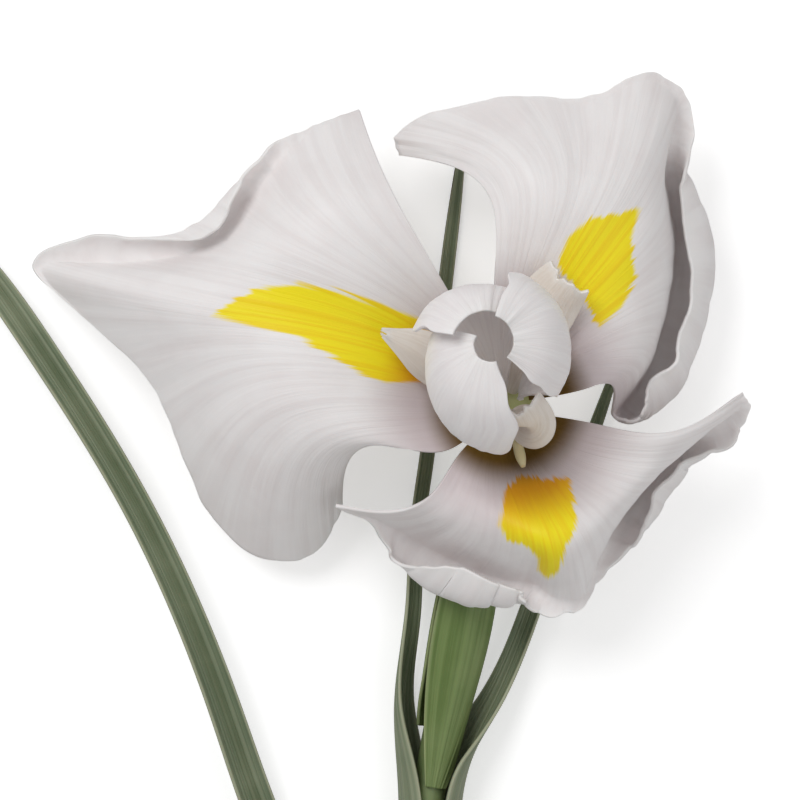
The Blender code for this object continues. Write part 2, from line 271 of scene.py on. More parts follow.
@dataclass
class Rod:
    """A round stem through a few points.

    Args:
        name: Name of the object.
        path: Points of its middle line.
        radii: Its radius at even steps along the path.
        sides: How many sides it has.
        rings: How many rings it has along its length.
        dent: How deep the ends are hollowed.
    """

    name: str
    path: Sequence[Point]
    radii: Sequence[float]
    sides: int = 48
    rings: int = 160
    dent: float = 0.0

    def build(self, material: bpy.types.Material) -> bpy.types.Object:
        """Makes the object from a cylinder cut into rings.

        Args:
            material: What the stem is finished in.

        Returns:
            The finished object.
        """
        centres = along(self.path, self.rings)
        sizes = natural_spline(np.linspace(0, 1, len(self.radii)),
                               np.asarray(self.radii, float)[:, None],
                               np.linspace(0, 1, self.rings))[:, 0]
        tangents = unit(np.gradient(centres, axis=0))
        side = unit(np.cross(tangents, (1.0, 0.0, 0.2)))
        other = np.cross(tangents, side)
        turns = np.linspace(0, 2 * math.pi, self.sides, endpoint=False)
        ridges = 1 + 0.012 * np.cos(turns * 9)
        rings = (centres[:, None] + sizes[:, None, None] * ridges[None, :, None]
                 * (np.cos(turns)[None, :, None] * side[:, None]
                    + np.sin(turns)[None, :, None] * other[:, None]))
        points = (rings.reshape(-1, 3) + THROAT_ON_FLOOR) * MM
        ends = [(centres[0] + tangents[0] * self.dent + THROAT_ON_FLOOR) * MM,
                (centres[-1] - tangents[-1] * self.dent + THROAT_ON_FLOOR) * MM]
        faces = []
        for ring in range(self.rings - 1):
            for k in range(self.sides):
                near, far = ring * self.sides, (ring + 1) * self.sides
                following = (k + 1) % self.sides
                faces.append((near + k, near + following, far + following, far + k))
        first, last = len(points), len(points) + 1
        for k in range(self.sides):
            following = (k + 1) % self.sides
            top = (self.rings - 1) * self.sides
            faces.append((first, following, k))
            faces.append((last, top + k, top + following))
        mesh = bpy.data.meshes.new(self.name)
        mesh.from_pydata([tuple(p) for p in points] + [tuple(p) for p in ends], [], faces)
        piece = bpy.data.objects.new(f"{self.name}_tissue", mesh)
        bpy.context.scene.collection.objects.link(piece)
        select_only(piece)
        bpy.ops.object.mode_set(mode="EDIT")
        bpy.ops.mesh.select_all(action="SELECT")
        bpy.ops.mesh.normals_make_consistent(inside=False)
        bpy.ops.object.mode_set(mode="OBJECT")
        bpy.ops.object.shade_smooth_by_angle(angle=math.radians(50))
        mesh.materials.append(material)
        return piece


def select_only(piece: bpy.types.Object) -> None:
    """Selects one object and makes it the active one."""
    bpy.ops.object.select_all(action="DESELECT")
    piece.select_set(True)
    bpy.context.view_layer.objects.active = piece


# ------------------------------------------------------------------ shader maths


class Value:
    """A shader socket that adds, multiplies and compares like a number."""

    def __init__(self, graph: "Graph", socket: bpy.types.NodeSocket) -> None:
        self.graph = graph
        self.socket = socket

    def _math(self, operation: str, *others: Any) -> "Value":
        return self.graph.math(operation, self, *others)

    def __add__(self, other: Any) -> "Value":
        return self._math("ADD", other)

    __radd__ = __add__

    def __sub__(self, other: Any) -> "Value":
        return self._math("SUBTRACT", other)

    def __rsub__(self, other: Any) -> "Value":
        return self.graph.math("SUBTRACT", other, self)

    def __mul__(self, other: Any) -> "Value":
        return self._math("MULTIPLY", other)

    __rmul__ = __mul__

    def __truediv__(self, other: Any) -> "Value":
        return self._math("DIVIDE", other)

    def __rtruediv__(self, other: Any) -> "Value":
        return self.graph.math("DIVIDE", other, self)

    def power(self, other: Any) -> "Value":
        """This value to a power."""
        return self._math("POWER", other)

    def clamp(self) -> "Value":
        """This value kept between 0 and 1."""
        result = self._math("MAXIMUM", 0.0)
        return result._math("MINIMUM", 1.0)

    def step(self, low: float, high: float) -> "Value":
        """A smooth rise from 0 at low to 1 at high."""
        return self.graph.smooth(self, low, high)


class Graph:
    """The node tree of one material, built with few words."""

    def __init__(self, name: str) -> None:
        self.material = bpy.data.materials.new(name)
        self.material.use_nodes = True
        self.tree = self.material.node_tree
        self.shader = self.tree.nodes["Principled BSDF"]

    def node(self, kind: str, settings: dict[str, Any] | None = None,
             inputs: dict[Any, Any] | None = None) -> bpy.types.Node:
        """Adds a node.

        Args:
            kind: The node's type name.
            settings: Values of its properties.
            inputs: Values or sockets of its inputs, by name or number.

        Returns:
            The node.
        """
        made = self.tree.nodes.new(kind)
        for key, setting in (settings or {}).items():
            setattr(made, key, setting)
        for key, value in (inputs or {}).items():
            self.connect(value, made.inputs[key])
        return made

    def connect(self, value: Any, socket: bpy.types.NodeSocket) -> None:
        """Links a socket to an input, or writes a constant in it."""
        if isinstance(value, Value):
            self.tree.links.new(value.socket, socket)
        else:
            socket.default_value = value

    def math(self, operation: str, *values: Any) -> Value:
        """One Math node."""
        made = self.node("ShaderNodeMath", {"operation": operation}, dict(enumerate(values)))
        return Value(self, made.outputs[0])

    def smooth(self, value: Any, low: float, high: float) -> Value:
        """One Map Range node with a smooth step from 0 to 1."""
        made = self.node("ShaderNodeMapRange", {"interpolation_type": "SMOOTHSTEP"},
                         {"Value": value, "From Min": low, "From Max": high})
        return Value(self, made.outputs["Result"])

    def mix(self, share: Any, first: Any, second: Any) -> Value:
        """A colour between two colours."""
        made = self.node("ShaderNodeMix", {"data_type": "RGBA"}, {"Factor": share})
        for value, socket in ((first, made.inputs[6]), (second, made.inputs[7])):
            self.connect((*value, 1.0) if isinstance(value, tuple) else value, socket)
        return Value(self, made.outputs[2])

    def attribute(self, name: Attribute) -> Value:
        """A value that the mesh carries."""
        made = self.node("ShaderNodeAttribute", {"attribute_name": name.value})
        return Value(self, made.outputs["Fac"])

    def surface(self, stretch: Point) -> Value:
        """The piece's own UV place, stretched."""
        place = self.node("ShaderNodeTexCoord")
        made = self.node("ShaderNodeVectorMath", {"operation": "MULTIPLY"}, {1: stretch})
        self.tree.links.new(place.outputs["UV"], made.inputs[0])
        return Value(self, made.outputs[0])

    def body(self, scale: float) -> Value:
        """The place in the object, scaled."""
        place = self.node("ShaderNodeTexCoord")
        made = self.node("ShaderNodeVectorMath", {"operation": "SCALE"}, {"Scale": scale})
        self.tree.links.new(place.outputs["Object"], made.inputs[0])
        return Value(self, made.outputs[0])

    def noise(self, place: Value, scale: float, detail: float = 3.0) -> Value:
        """Cloudy noise between 0 and 1."""
        made = self.node("ShaderNodeTexNoise", {}, {"Vector": place, "Scale": scale,
                                                    "Detail": detail})
        return Value(self, made.outputs["Fac"])

    def bump(self, height: Value, depth: float, strength: float) -> Value:
        """Small relief from a height."""
        made = self.node("ShaderNodeBump", {}, {"Height": height, "Distance": depth,
                                                "Strength": strength})
        return Value(self, made.outputs["Normal"])

    def finish(self, colour: Any, roughness: Any, normal: Value | None = None,
               constants: dict[str, Any] | None = None) -> bpy.types.Material:
        """Feeds the surface shader.

        Args:
            colour: Base colour.
            roughness: Roughness.
            normal: Relief, if any.
            constants: Other inputs of the shader.

        Returns:
            The material.
        """
        self.connect(colour, self.shader.inputs["Base Color"])
        self.connect(roughness, self.shader.inputs["Roughness"])
        if normal is not None:
            self.connect(normal, self.shader.inputs["Normal"])
        for key, value in (constants or {}).items():
            self.shader.inputs[key].default_value = value
        return self.material


TISSUE = {"Subsurface Weight": 0.22, "Subsurface Radius": (1.0, 0.85, 0.8),
          "Subsurface Scale": 0.0012, "Specular IOR Level": 0.3}


@dataclass(frozen=True)
class PetalFinish:
    """White petal with fine veins that fan along it, a yellow signal where one is carried, and
    painted shade towards the throat.

    Args:
        name: Name of the material.
        light: Colour of the lit blade.
        shade: Colour of the hollows between veins.
        veins: How many veins cross the petal.
        signal: Whether the petal carries the yellow signal.
    """

    name: str
    light: Colour = (0.90, 0.865, 0.86)
    shade: Colour = (0.80, 0.745, 0.74)
    # Painted shade: mauve-grey shade where the haft runs under the bud.
    painted_throat_shade: Colour = (0.50, 0.40, 0.42)
    yellow: Colour = (0.98, 0.80, 0.012)
    deep_yellow: Colour = (0.92, 0.58, 0.004)
    orange: Colour = (0.74, 0.33, 0.008)
    # The haft's own olive-brown, darkened by painted shade deep in the throat.
    shaded_olive_haft: Colour = (0.14, 0.075, 0.008)
    veins: float = 46.0
    signal: bool = True

    def make(self) -> bpy.types.Material:
        """Builds the material."""
        g = Graph(self.name)
        lines = g.noise(g.surface((self.veins, 2.2, 1.0)), 1.0, 4.0)
        fine = g.noise(g.surface((self.veins * 3.2, 5.0, 1.0)), 1.0, 2.0)
        cloud = g.noise(g.body(90.0), 1.0, 3.0)
        rim = g.attribute(Attribute.RIM)
        veil = (lines.step(0.42, 0.62) * 0.55 + cloud.step(0.4, 0.7) * 0.45) * 0.75
        colour = g.mix(veil, self.light, self.shade)
        colour = g.mix(rim.step(0.93, 1.0) * 0.5, colour, (0.94, 0.92, 0.90))
        if self.signal:
            reach = g.attribute(Attribute.REACH)
            inside = g.attribute(Attribute.SIGNAL) + (lines - 0.5) * 2.6 + (fine - 0.5) * 1.4
            # Painted shade: the blade turns mauve-grey towards the throat, where the bud shades
            # it.
            colour = g.mix((1.0 - reach.step(14.0, 25.0)) * 0.62, colour, self.painted_throat_shade)
            gold = g.mix(lines.step(0.45, 0.6) * 0.5, self.yellow, self.deep_yellow)
            gold = g.mix(1.0 - (reach + (lines - 0.5) * 4.0).step(14.0, 22.0), gold, self.orange)
            colour = g.mix(inside.step(-0.35, 0.45), colour, gold)
            # Dark olive at the very throat: the haft's own colour plus painted shade under the
            # bud.
            colour = g.mix(1.0 - reach.step(9.5, 14.5), colour, self.shaded_olive_haft)
        relief = lines * 0.7 + fine * 0.3
        normal = g.bump(relief, 0.0004, 0.55)
        return g.finish(colour, 0.42 + cloud * 0.18, normal, TISSUE)


@dataclass(frozen=True)
class GreenFinish:
    """Green leaf or bract with parallel veins, pale edges and painted shade along the bottom of
    its channel.

    Args:
        name: Name of the material.
        face: Colour between the veins.
        stripe: Colour of the veins.
        edge: Colour of the thin margins.
        channel_shade: Colour of the painted shade along the bottom of the channel.
        veins: How many veins cross it.
    """

    name: str
    face: Colour
    stripe: Colour
    edge: Colour
    # Painted shade: colour of the shaded bottom of the channel.
    channel_shade: Colour
    veins: float = 16.0

    def make(self) -> bpy.types.Material:
        """Builds the material."""
        g = Graph(self.name)
        lines = g.noise(g.surface((self.veins, 0.8, 1.0)), 1.0, 3.0)
        fine = g.noise(g.surface((self.veins * 4.0, 3.0, 1.0)), 1.0, 3.0)
        cloud = g.noise(g.body(60.0), 1.0, 4.0)
        rim = g.attribute(Attribute.RIM)
        channel_shade_mask = g.attribute(Attribute.TINT)
        colour = g.mix((lines.step(0.38, 0.64) * 0.8 + fine * 0.2).clamp(), self.face, self.stripe)
        # Painted shade: the middle of the section, down in the channel, is darkened.
        colour = g.mix(channel_shade_mask * 0.8, colour, self.channel_shade)
        colour = g.mix(cloud.step(0.35, 0.75) * 0.25, colour, self.edge)
        colour = g.mix(rim.step(0.86, 0.99) * 0.75, colour, self.edge)
        normal = g.bump(lines * 0.6 + fine * 0.4, 0.0003, 0.6)
        return g.finish(colour, 0.38 + cloud * 0.2, normal,
                        {"Specular IOR Level": 0.4, "Subsurface Weight": 0.06,
                         "Subsurface Scale": 0.001})


@dataclass(frozen=True)
class RoundFinish:
    """Plain tissue of a stem, tube, ovary or stamen with soft streaks.

    Args:
        name: Name of the material.
        face: Main colour.
        streak: Colour of the streaks.
    """

    name: str
    face: Colour
    streak: Colour

    def make(self) -> bpy.types.Material:
        """Builds the material."""
        g = Graph(self.name)
        cloud = g.noise(g.body(220.0), 1.0, 4.0)
        broad = g.noise(g.body(45.0), 1.0, 2.0)
        colour = g.mix(cloud.step(0.3, 0.7) * 0.5 + broad * 0.3, self.face, self.streak)
        return g.finish(colour, 0.4 + cloud * 0.2, g.bump(cloud, 0.0002, 0.4),
                        {"Subsurface Weight": 0.08, "Subsurface Scale": 0.001})


# ------------------------------------------------------------------ falls


@dataclass
class Fall:
    """One outer petal: narrow base, shoulder, half way line, margin and rolled lip.

    Args:
        name: Node that it replaces.
        azimuth: Direction of its base, degrees.
        spread: Half the angle its base takes up, degrees.
        shoulder: The two corners of its shoulder.
        bulge: How far the shoulder arches outward.
        sag: How far the shoulder sinks in the middle.
        veins: Place half way, place at the margin, and the lip's turn and length, for each vein.
        signal: Outline of the yellow signal in plan.
        seed: Which ruffles it has.
    """

    name: str
    azimuth: float
    spread: float
    shoulder: tuple[Point, Point]
    bulge: float
    sag: float
    veins: Sequence[tuple[Point, Point, Plan]]
    signal: Sequence[Plan]
    seed: int
    columns: int = 340
    rows: int = 150
    lip_rows: int = 70
    thickness: float = 0.55
    ruffle: float = 0.55
    throat_radius: float = 3.9

    def bare_net(self) -> tuple[np.ndarray, np.ndarray]:
        """The blade's net without its lip, and the lip's turn and length at each column."""
        count = len(self.veins)
        place = np.linspace(-1, 1, count)
        turn = np.radians(self.azimuth - place * self.spread)
        base = np.stack([np.cos(turn) * self.throat_radius, np.sin(turn) * self.throat_radius,
                         np.full(count, THROAT_HEIGHT + 1.1)], axis=1)
        first, last = (np.asarray(corner) for corner in self.shoulder)
        middle = math.radians(self.azimuth)
        outward = np.array([math.cos(middle), math.sin(middle), 0.0])
        share = ((place + 1) / 2)[:, None]
        arch = (1 - place ** 2)[:, None]
        shoulder = first + (last - first) * share + arch * outward * self.bulge
        shoulder[:, 2] -= arch[:, 0] * self.sag
        half = np.array([vein[0] for vein in self.veins], float)
        margin = np.array([vein[1] for vein in self.veins], float)
        curls = np.array([vein[2] for vein in self.veins], float)
        lines = np.concatenate([np.stack([base, shoulder, half, margin], axis=1)
                                .reshape(count, 12), curls], axis=1)
        lines = natural_spline(np.linspace(0, 1, count), lines, np.linspace(0, 1, self.columns))
        net = np.stack([along(line[:12].reshape(4, 3), self.rows) for line in lines])
        return net, lines[:, 12:14]

    def ruffled(self, net: np.ndarray) -> np.ndarray:
        """The net with soft folds that fan from the base and grow towards the margin."""
        reach = np.linspace(0, 1, self.rows)[None, :]
        folds = blotchy(self.columns, self.rows, (17.0, 1.6), self.seed) * self.ruffle
        crimps = blotchy(self.columns, self.rows, (52.0, 5.0), self.seed + 1) * 0.16
        grow = np.clip((reach - 0.35) / 0.65, 0, 1) ** 1.4
        return net + net_normals(net) * ((folds + crimps) * grow)[:, :, None]

    def lipped(self, net: np.ndarray, curls: np.ndarray) -> np.ndarray:
        """The net with its margin rolled inward, each column by its own angle.

        Args:
            net: The blade's net.
            curls: The lip's turn in degrees and length for each column.

        Returns:
            The net with the lip's rows added.
        """
        ragged = wander(self.columns, 38, self.seed + 2) * 0.5
        ragged += wander(self.columns, 90, self.seed + 3) * 0.28
        lengths = np.maximum(curls[:, 1], 1.0)
        lengths = lengths + ragged * np.minimum(1.0, 0.35 + lengths * 0.08)
        edge = net[:, -1]
        outward = unit(edge - net[:, -4])
        upward = unit(np.cross(np.gradient(edge, axis=0), outward))
        rows = []
        place = edge.copy()
        fine = 3
        waves = wander(self.columns, 24, self.seed + 4) * 16
        for step in range(self.lip_rows * fine):
            done = (step + 0.5) / (self.lip_rows * fine)
            angle = np.radians(curls[:, 0] * (1 - (1 - done) ** 2) + waves * done ** 2)
            heading = np.cos(angle)[:, None] * outward + np.sin(angle)[:, None] * upward
            place = place + heading * (lengths / (self.lip_rows * fine))[:, None]
            if (step + 1) % fine == 0:
                rows.append(place)
        return np.concatenate([net, np.stack(rows, axis=1)], axis=1)

    def build(self, material: bpy.types.Material) -> bpy.types.Object:
        """Makes the fall.

        Args:
            material: The petal's finish.

        Returns:
            The finished object.
        """
        net, curls = self.bare_net()
        net = self.lipped(self.ruffled(net), curls)
        columns, rows = net.shape[:2]
        plan = net[:, :, :2].reshape(-1, 2)
        signal = inside_distance(plan, self.signal).reshape(columns, rows)
        signal[:, self.rows:] = np.minimum(signal[:, self.rows:], -3.0)
        reach = np.linalg.norm(net[:, :, :2], axis=2)
        rim = np.broadcast_to(np.linspace(0, 1, rows)[None, :], (columns, rows))
        values = {Attribute.SIGNAL: signal, Attribute.REACH: reach, Attribute.RIM: rim}
        return Sheet(self.name, net, self.thickness, values).build(material)


# ------------------------------------------------------------------ bud


@dataclass
class Standard:
    """One inner petal of the folded bud: a part of an egg with one side tucked under.

    Args:
        name: Node that it replaces.
        azimuth: Middle direction, degrees.
        spread: Half the angle it takes up, degrees.
        tuck: How deep its far side tucks in.
        closing: How far up the egg it closes.
        seed: Which ruffles it has.
    """

    name: str
    azimuth: float
    spread: float
    tuck: float
    closing: float
    seed: int
    columns: int = 180
    rows: int = 180
    thickness: float = 0.5
    levels: Sequence[tuple[float, float, float, float]] = (
        (THROAT_HEIGHT + 1.2, 2.6, 0.0, 0.0),
        (THROAT_HEIGHT + 6.0, 3.4, -0.2, 0.6),
        (THROAT_HEIGHT + 13.0, 7.8, -0.8, 2.6),
        (THROAT_HEIGHT + 20.0, 13.2, -1.8, 5.2),
        (THROAT_HEIGHT + 27.5, 13.2, -2.4, 7.2),
        (THROAT_HEIGHT + 33.5, 9.4, -3.0, 8.4),
        (THROAT_HEIGHT + 36.0, 3.0, -3.4, 9.0),
    )

    def build(self, material: bpy.types.Material) -> bpy.types.Object:
        """Makes the petal.

        Args:
            material: The petal's finish.

        Returns:
            The finished object.
        """
        levels = natural_spline(np.linspace(0, 1, len(self.levels)), self.levels,
                                np.linspace(0, self.closing, self.rows))
        slope = unit(np.gradient(levels[:, :2], axis=0))
        up = np.linspace(0, 1, self.rows)[None, :]
        v = np.linspace(-1, 1, self.columns)[:, None]
        opening = np.minimum(1.0, 0.2 + 1.1 * up)
        sink = np.minimum(1.0, 2.2 * up)
        edge = wander(self.rows, 12, self.seed)[None, :] * 2.5 * v ** 8
        turn = np.radians(self.azimuth - v * self.spread * opening + edge)
        depth = (v + 1) / 2 * self.tuck * sink
        size = levels[:, 1][None, :] - depth * slope[:, 0][None, :]
        net = np.stack([levels[:, 2][None, :] + size * np.cos(turn),
                        levels[:, 3][None, :] + size * np.sin(turn),
                        levels[:, 0][None, :] + depth * slope[:, 1][None, :]], axis=2)
        folds = blotchy(self.columns, self.rows, (5.0, 3.0), self.seed + 1) * 0.28
        crimps = blotchy(self.columns, self.rows, (22.0, 4.0), self.seed + 2) * 0.07
        net = net + net_normals(net) * ((folds + crimps) * sink)[:, :, None]
        rim = np.broadcast_to(up, (self.columns, self.rows))
        return Sheet(self.name, net, self.thickness, {Attribute.RIM: rim}).build(material)


@dataclass
class StyleArm:
    """A petal-like style arm: a ridged strap that ends in a ragged crest.

    Args:
        name: Node that it replaces.
        path: Its middle line, from the throat outward.
        widths: Its width at even steps along the path.
        seed: Which ruffles it has.
    """

    name: str
    path: Sequence[Point]
    widths: Sequence[float]
    seed: int
    ridge: float = 0.22
    columns: int = 90
    rows: int = 160
    thickness: float = 0.5

    def build(self, material: bpy.types.Material) -> bpy.types.Object:
        """Makes the style arm.

        Args:
            material: The petal's finish.

        Returns:
            The finished object.
        """
        centres = along(self.path, self.rows)
        spans = natural_spline(np.linspace(0, 1, len(self.widths)),
                               np.asarray(self.widths, float)[:, None],
                               np.linspace(0, 1, self.rows))[:, 0]
        tangents = unit(np.gradient(centres, axis=0))
        sides = unit(np.cross(tangents, (0.0, 0.0, 1.0)))
        ups = np.cross(sides, tangents)
        v = np.linspace(-1, 1, self.columns)[:, None, None]
        half = spans[None, :, None] / 2
        net = centres[None] - v * sides[None] * half - v * v * half * 2 * self.ridge * ups[None]
        far = np.linspace(0, 1, self.rows)[None, :, None]
        teeth = wander(self.columns, 9, self.seed)[:, None, None] * 0.7
        net = net + teeth * tangents[None] * np.clip((far - 0.7) / 0.3, 0, 1) ** 2
        rim = np.broadcast_to(far[:, :, 0], (self.columns, self.rows))
        return Sheet(self.name, net, self.thickness, {Attribute.RIM: rim}).build(material)


# ------------------------------------------------------------------ greens


@dataclass
class Leaf:
    """A leaf or bract: a curved section carried along its stations.

    Args:
        name: Node that it replaces.
        stations: Centre, radius, wrap angle and facing angle of the section at each station.
        seed: Which unevenness it has.
        channel_shade: How strongly painted shade darkens the bottom of its channel.
    """

    name: str
    stations: Sequence[tuple[float, float, float, float, float, float]]
    seed: int
    channel_shade: float = 0.6
    columns: int = 90
    rows: int = 420
    thickness: float = 0.5

    def build(self, material: bpy.types.Material) -> bpy.types.Object:
        """Makes the leaf.

        Args:
            material: The leaf's finish.

        Returns:
            The finished object.
        """
        stations = np.asarray(self.stations, float)
        steps = np.linalg.norm(np.diff(stations[:, :3], axis=0), axis=1)
        knots = np.concatenate([[0.0], np.cumsum(steps)])
        filled = natural_spline(knots, stations, np.linspace(0, knots[-1], self.rows))
        centres, sizes = filled[:, :3], filled[:, 3]
        wraps = np.radians(np.maximum(filled[:, 4], 4.0))
        turns = np.radians(filled[:, 5])[:, None]
        tangents = unit(np.gradient(centres, axis=0))
        right = unit(np.cross(tangents, (0.0, 0.0, 1.0)))
        up = np.cross(right, tangents)
        facing = np.cos(turns) * right + np.sin(turns) * up
        side = np.cross(tangents, facing)
        v = np.linspace(-1, 1, self.columns)
        angle = v[:, None] * wraps[None, :] / 2
        net = (centres[None] + (sizes * np.sin(angle))[:, :, None] * side[None]
               - (sizes * np.cos(angle))[:, :, None] * facing[None])
        ribs = blotchy(self.columns, self.rows, (24.0, 3.0), self.seed) * 0.09
        net = net + net_normals(net) * ribs[:, :, None]
        rim = np.broadcast_to(np.abs(v)[:, None], (self.columns, self.rows))
        # Painted shade mask: strongest along the middle of the section, the bottom of the channel.
        channel_shade_mask = np.exp(-((v - 0.1) / 0.42) ** 2)[:, None] * np.ones((1, self.rows)) * self.channel_shade
        return Sheet(self.name, net, self.thickness,
                     {Attribute.RIM: rim, Attribute.TINT: channel_shade_mask}).build(material)


# ------------------------------------------------------------------ the whole flower

STEM_HEIGHT = 5.8
SHEATH_RADIUS = 4.4
OUTER_SHEATH_RADIUS = 5.4


def falls() -> list[Fall]:
    """The three outer petals."""
    return [
        Fall("fall_left", 168.0, 50.0, ((-12.5, -8.0, 29.5), (-10.5, 19.5, 29.5)), 3.5, 1.5, [
            ((-19.5, -6.8, 30.0), (-26.6, -17.0, 12.0), (-40, 2)),
            ((-23.8, -6.0, 31.0), (-30.4, -23.5, 8.0), (-60, 3)),
            ((-28.5, -3.8, 32.0), (-39.0, -25.2, 8.5), (-40, 2)),
            ((-33.5, 0.0, 32.5), (-48.0, -17.8, 10.0), (-20, 1.5)),
            ((-38.0, 4.5, 32.0), (-53.6, -3.5, 14.0), (0, 1)),
            ((-42.5, 10.5, 31.0), (-62.4, 9.2, 13.0), (0, 1)),
            ((-46.0, 15.0, 30.0), (-76.0, 22.0, 5.5), (60, 2)),
            ((-42.0, 19.5, 30.5), (-58.5, 22.5, 14.0), (185, 9)),
            ((-38.0, 24.5, 31.5), (-45.4, 27.4, 21.0), (210, 11)),
            ((-32.0, 29.0, 32.0), (-37.9, 36.4, 22.5), (130, 5)),
            ((-26.0, 32.0, 32.0), (-31.0, 43.0, 20.0), (0, 2)),
            ((-17.5, 31.5, 31.0), (-23.5, 46.8, 16.0), (-30, 2)),
        ], [(-47.0, 13.8), (-39.8, 18.2), (-33.0, 18.8), (-27.0, 17.6), (-20.0, 15.5),
            (-12.0, 12.6), (-12.0, 3.4), (-19.5, 3.0), (-22.7, 4.2), (-26.4, 6.2), (-33.0, 10.0)],
             11),
        Fall("fall_right", 50.0, 46.0, ((-2.0, 21.0, 29.5), (13.6, 2.5, 28.5)), 3.0, 1.5, [
            ((-2.0, 30.0, 30.5), (-16.5, 40.0, 14.0), (-30, 2)),
            ((1.0, 32.5, 32.0), (-16.0, 43.8, 14.0), (-20, 2)),
            ((4.0, 33.5, 33.0), (-9.5, 46.5, 19.0), (0, 2)),
            ((8.5, 33.5, 33.0), (3.5, 48.3, 22.0), (0, 1)),
            ((12.5, 33.5, 32.0), (14.8, 48.0, 22.0), (20, 2)),
            ((16.5, 32.8, 31.0), (22.6, 51.2, 19.0), (30, 2)),
            ((20.0, 31.5, 29.0), (27.2, 47.2, 16.0), (60, 3)),
            ((22.5, 28.0, 27.0), (25.6, 38.6, 13.0), (200, 9)),
            ((23.5, 22.5, 25.5), (28.0, 26.5, 9.0), (222, 18)),
            ((23.0, 15.5, 25.0), (26.6, 14.8, 8.0), (222, 19)),
            ((21.0, 9.0, 25.0), (22.9, 4.8, 11.0), (222, 18)),
            ((18.5, 5.0, 26.0), (18.8, -0.6, 16.5), (205, 11)),
            ((16.0, 3.0, 27.0), (17.0, -1.6, 22.0), (110, 3)),
        ], [(8.0, 23.0), (9.4, 26.2), (13.0, 29.2), (17.5, 30.0), (21.0, 31.0), (19.6, 26.0),
            (20.4, 20.0), (18.0, 15.0), (14.6, 11.8), (11.6, 17.0), (8.4, 20.6)], 12),
        Fall("fall_lower", -73.0, 46.0, ((14.0, -3.5, 28.5), (-8.5, -9.5, 28.0)), 5.0, 2.5, [
            ((22.5, -5.0, 31.5), (36.5, 0.5, 21.0), (0, 2)),
            ((23.0, -6.8, 31.0), (37.0, -1.2, 19.0), (60, 3)),
            ((22.5, -9.0, 30.0), (31.4, -5.2, 15.0), (190, 8)),
            ((20.0, -12.0, 30.0), (26.0, -9.2, 12.5), (215, 12)),
            ((16.5, -14.8, 31.0), (20.2, -16.6, 12.0), (215, 12)),
            ((12.5, -18.5, 33.5), (15.0, -24.8, 15.0), (130, 4)),
            ((9.0, -20.5, 35.0), (12.3, -31.0, 18.5), (60, 2)),
            ((6.3, -21.0, 35.5), (7.8, -30.8, 20.0), (100, 4)),
            ((3.5, -20.5, 35.0), (3.4, -28.8, 18.5), (190, 9)),
            ((-0.5, -18.5, 33.0), (-2.6, -28.0, 16.0), (215, 17)),
            ((-4.5, -16.0, 30.5), (-10.4, -24.4, 14.0), (215, 18)),
            ((-8.0, -14.5, 29.0), (-18.2, -20.2, 14.5), (120, 4)),
            ((-12.0, -14.5, 29.0), (-26.5, -16.8, 23.0), (0, 1)),
        ], [(-0.6, -14.4), (1.8, -12.0), (9.8, -12.4), (10.6, -15.5), (10.6, -20.3),
            (9.0, -22.6), (8.2, -26.6), (7.0, -28.4), (5.2, -26.6), (5.0, -24.6), (3.4, -23.0),
            (-0.4, -21.6), (-1.2, -19.4)], 13),
    ]


def standards() -> list[Standard]:
    """The three inner petals."""
    return [Standard("standard_left", 222.0, 66.0, 3.6, 1.0, 21),
            Standard("standard_right", 20.0, 58.0, 3.6, 0.97, 22),
            Standard("standard_top", 108.0, 56.0, 3.6, 0.93, 23)]


def style_arms() -> list[StyleArm]:
    """The three style arms."""
    return [
        StyleArm("style_arm_left", [(-1.6, 0.6, 20.4), (-5.0, 2.2, 26.0), (-9.5, 4.9, 30.2),
                                    (-14.5, 8.4, 33.8), (-19.6, 10.8, 35.4)],
                 [1.6, 3.4, 7.0, 6.5, 1.2], 31),
        StyleArm("style_arm_right", [(0.8, 1.5, 20.4), (2.2, 5.2, 26.6), (4.4, 10.6, 31.0),
                                     (6.6, 15.8, 33.0), (8.8, 18.8, 36.0)],
                 [1.6, 3.4, 7.0, 9.5, 7.5], 32),
        StyleArm("style_arm_lower", [(0.6, -1.5, 20.4), (1.8, -3.6, 26.0), (3.0, -4.2, 31.5),
                                     (3.4, -3.4, 37.0), (2.2, -1.2, 41.0)],
                 [1.6, 3.4, 6.0, 7.5, 7.0], 33),
    ]


